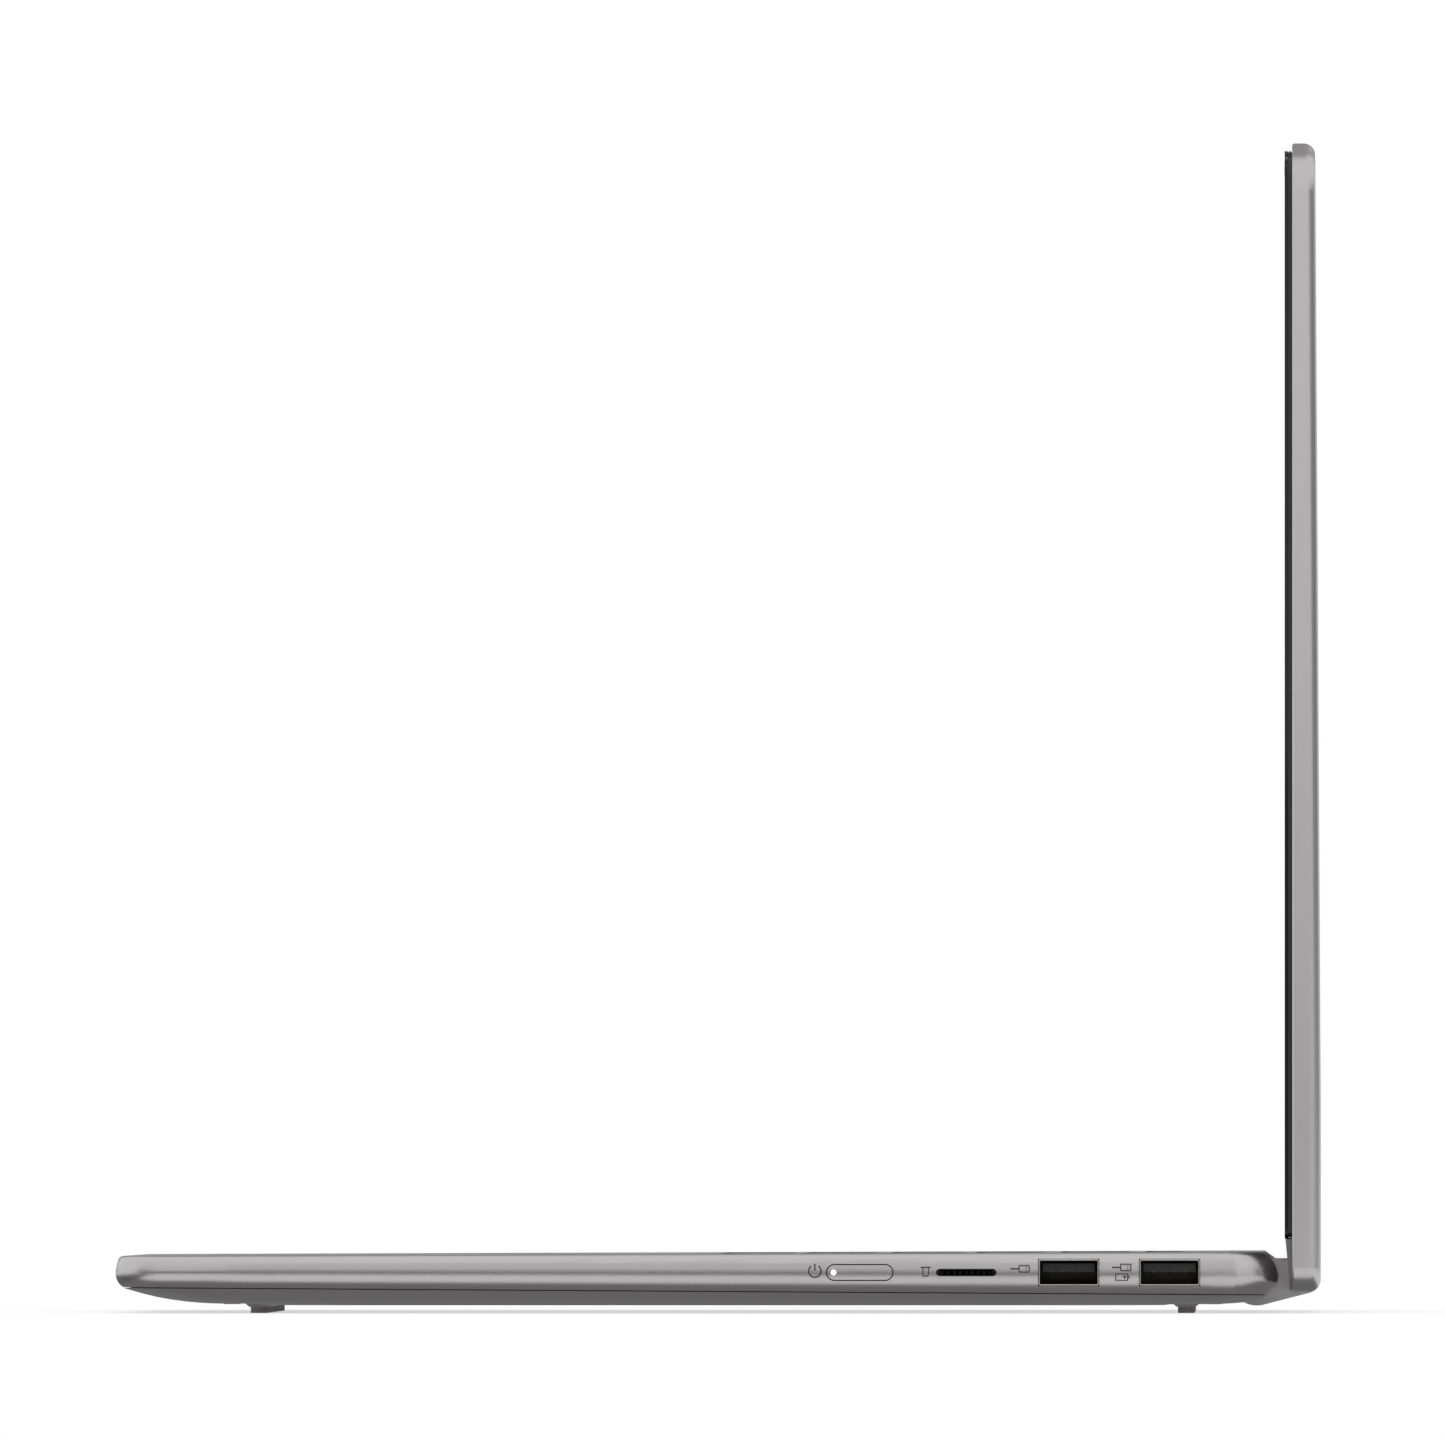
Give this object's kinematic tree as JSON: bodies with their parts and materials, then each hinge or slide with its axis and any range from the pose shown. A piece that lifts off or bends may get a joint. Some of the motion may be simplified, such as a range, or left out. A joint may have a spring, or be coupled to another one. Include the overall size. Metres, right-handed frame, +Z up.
{
  "type": "convertible laptop computer",
  "caption": "Thin convertible laptop computer with a two-axis folding hinge, wedge-shaped metal base, keyboard, touchpad and glass screen, shown open at a right angle.",
  "frame": {"origin": "on the table under the middle of the open computer, feet standing on Z = 0", "axes": "+X the user's right along the width, +Y from the front edge to the back of the lid, +Z up from the table"},
  "size_m": [0.36, 0.2622, 0.2563],
  "materials": {
    "case_metal": "bead-blasted, anodised satin grey",
    "lid_metal": "bead-blasted, anodised satin grey",
    "hinge_metal": "satin grey coating",
    "chin_plastic": "fine matte, dark grey",
    "screen_glass": "polished, black-backed at its edges",
    "bezel_plastic": "matte black",
    "panel": "display stack, dark when off",
    "camera_plastic": "black, polished lens",
    "foot_rubber": "moulded, matte grey",
    "key_plastic": "soft-touch coating",
    "touchpad_glass": "frosted, etched glass",
    "steel": "stamped, nickel-plated",
    "plate_metal": "stamped sheet",
    "socket_plastic": "moulded, black",
    "board": "printed circuit board, solder mask",
    "chip": "chip package",
    "copper": "flattened copper pipe",
    "fan_plastic": "moulded, black",
    "battery": "wrapped pouch cells",
    "speaker_plastic": "moulded, black",
    "lamp": "diffusing light guide",
    "fins_metal": "folded fins"
  },
  "bodies": {
    "base": {"top_case": "case_metal", "bottom_cover": "case_metal", "bottom_screws": "steel", "front_foot": "foot_rubber", "rear_foot": "foot_rubber", "keyboard_plate": "plate_metal", "touchpad_bracket": "steel", "main_board": "board", "io_board": "board", "processor": "chip", "heat_pipe": "copper", "heat_fins": "fins_metal", "fan_housing_left": "fan_plastic", "fan_housing_right": "fan_plastic", "battery_tray": "battery", "battery_cells": "battery", "ssd_card": "board", "wifi_card": "board", "speaker_left": "speaker_plastic", "speaker_right": "speaker_plastic", "board_screws": "steel", "usb_a_shell_front": "steel", "usb_a_shell_rear": "steel", "usb_a_tongues": "socket_plastic", "card_slot": "socket_plastic", "power_switch": "chip", "usb_c_shells": "steel", "usb_c_tongues": "socket_plastic", "hdmi_port": "steel", "audio_jack": "socket_plastic", "base_hinge_brackets": "steel", "base_hinge_shafts": "steel", "hinge_screws": "steel"},
    "hinge_links": {"hinge_link_left": "hinge_metal", "hinge_link_right": "hinge_metal"},
    "lid": {"lid_cover": "lid_metal", "lid_chin": "chin_plastic", "screen_glass": "screen_glass", "screen_frame": "bezel_plastic", "display_panel": "panel", "camera_module": "camera_plastic", "lid_hinge_brackets": "steel", "lid_hinge_shafts": "steel", "lid_antennas": "plate_metal", "display_board": "board"},
    "camera_shutter": {"camera_shutter": "bezel_plastic"},
    "touchpad": {"touchpad": "touchpad_glass"},
    "power_button": {"power_button": "case_metal", "power_lamp": "lamp"},
    "fan_rotor_left": {"fan_rotor_left": "fan_plastic"},
    "fan_rotor_right": {"fan_rotor_right": "fan_plastic"},
    "keys_space_row": {"keys_space_row": "key_plastic"},
    "keys_lower_row": {"keys_lower_row": "key_plastic"},
    "keys_home_row": {"keys_home_row": "key_plastic"},
    "keys_upper_row": {"keys_upper_row": "key_plastic"},
    "keys_number_row": {"keys_number_row": "key_plastic"},
    "keys_function_row": {"keys_function_row": "key_plastic"}
  },
  "joints": [
    {"name": "base_hinge", "type": "hinge", "parent": "base", "child": "hinge_links", "pos_m": [0, 0.11716, 0.00745], "axis": [-1, 0, 0], "range_deg": [-89.8, 90]},
    {"name": "lid_hinge", "type": "hinge", "parent": "hinge_links", "child": "lid", "pos_m": [0, 0.12798, 0.00745], "axis": [-1, 0, 0], "range_deg": [0, 180]},
    {"name": "touchpad_click", "type": "hinge", "parent": "base", "child": "touchpad", "pos_m": [0, -0.02374, 0.01135], "axis": [1, 0, 0], "range_deg": [0, 0.35], "stiffness_Nm_per_rad": 8, "springref_deg": -1.15},
    {"name": "power_button_press", "type": "slide", "parent": "base", "child": "power_button", "axis": [-1, 0, 0], "range_m": [0, 0.0004], "stiffness_N_per_m": 2000, "springref_m": -0.0003},
    {"name": "camera_shutter_slide", "type": "slide", "parent": "lid", "child": "camera_shutter", "axis": [-1, 0, 0], "range_m": [0, 0.006]},
    {"name": "fan_left_spin", "type": "hinge", "parent": "base", "child": "fan_rotor_left", "pos_m": [-0.054, 0.07501, 0.005], "axis": [0, 0, 1], "continuous": true},
    {"name": "fan_right_spin", "type": "hinge", "parent": "base", "child": "fan_rotor_right", "pos_m": [0.054, 0.07501, 0.005], "axis": [0, 0, 1], "continuous": true},
    {"name": "keys_space_press", "type": "slide", "parent": "base", "child": "keys_space_row", "axis": [0, 0, -1], "range_m": [0, 0.0014], "stiffness_N_per_m": 3000, "springref_m": -0.0005},
    {"name": "keys_lower_press", "type": "slide", "parent": "base", "child": "keys_lower_row", "axis": [0, 0, -1], "range_m": [0, 0.0014], "stiffness_N_per_m": 3000, "springref_m": -0.0005},
    {"name": "keys_home_press", "type": "slide", "parent": "base", "child": "keys_home_row", "axis": [0, 0, -1], "range_m": [0, 0.0014], "stiffness_N_per_m": 3000, "springref_m": -0.0005},
    {"name": "keys_upper_press", "type": "slide", "parent": "base", "child": "keys_upper_row", "axis": [0, 0, -1], "range_m": [0, 0.0014], "stiffness_N_per_m": 3000, "springref_m": -0.0005},
    {"name": "keys_number_press", "type": "slide", "parent": "base", "child": "keys_number_row", "axis": [0, 0, -1], "range_m": [0, 0.0014], "stiffness_N_per_m": 3000, "springref_m": -0.0005},
    {"name": "keys_function_press", "type": "slide", "parent": "base", "child": "keys_function_row", "axis": [0, 0, -1], "range_m": [0, 0.0014], "stiffness_N_per_m": 3000, "springref_m": -0.0005}
  ]
}
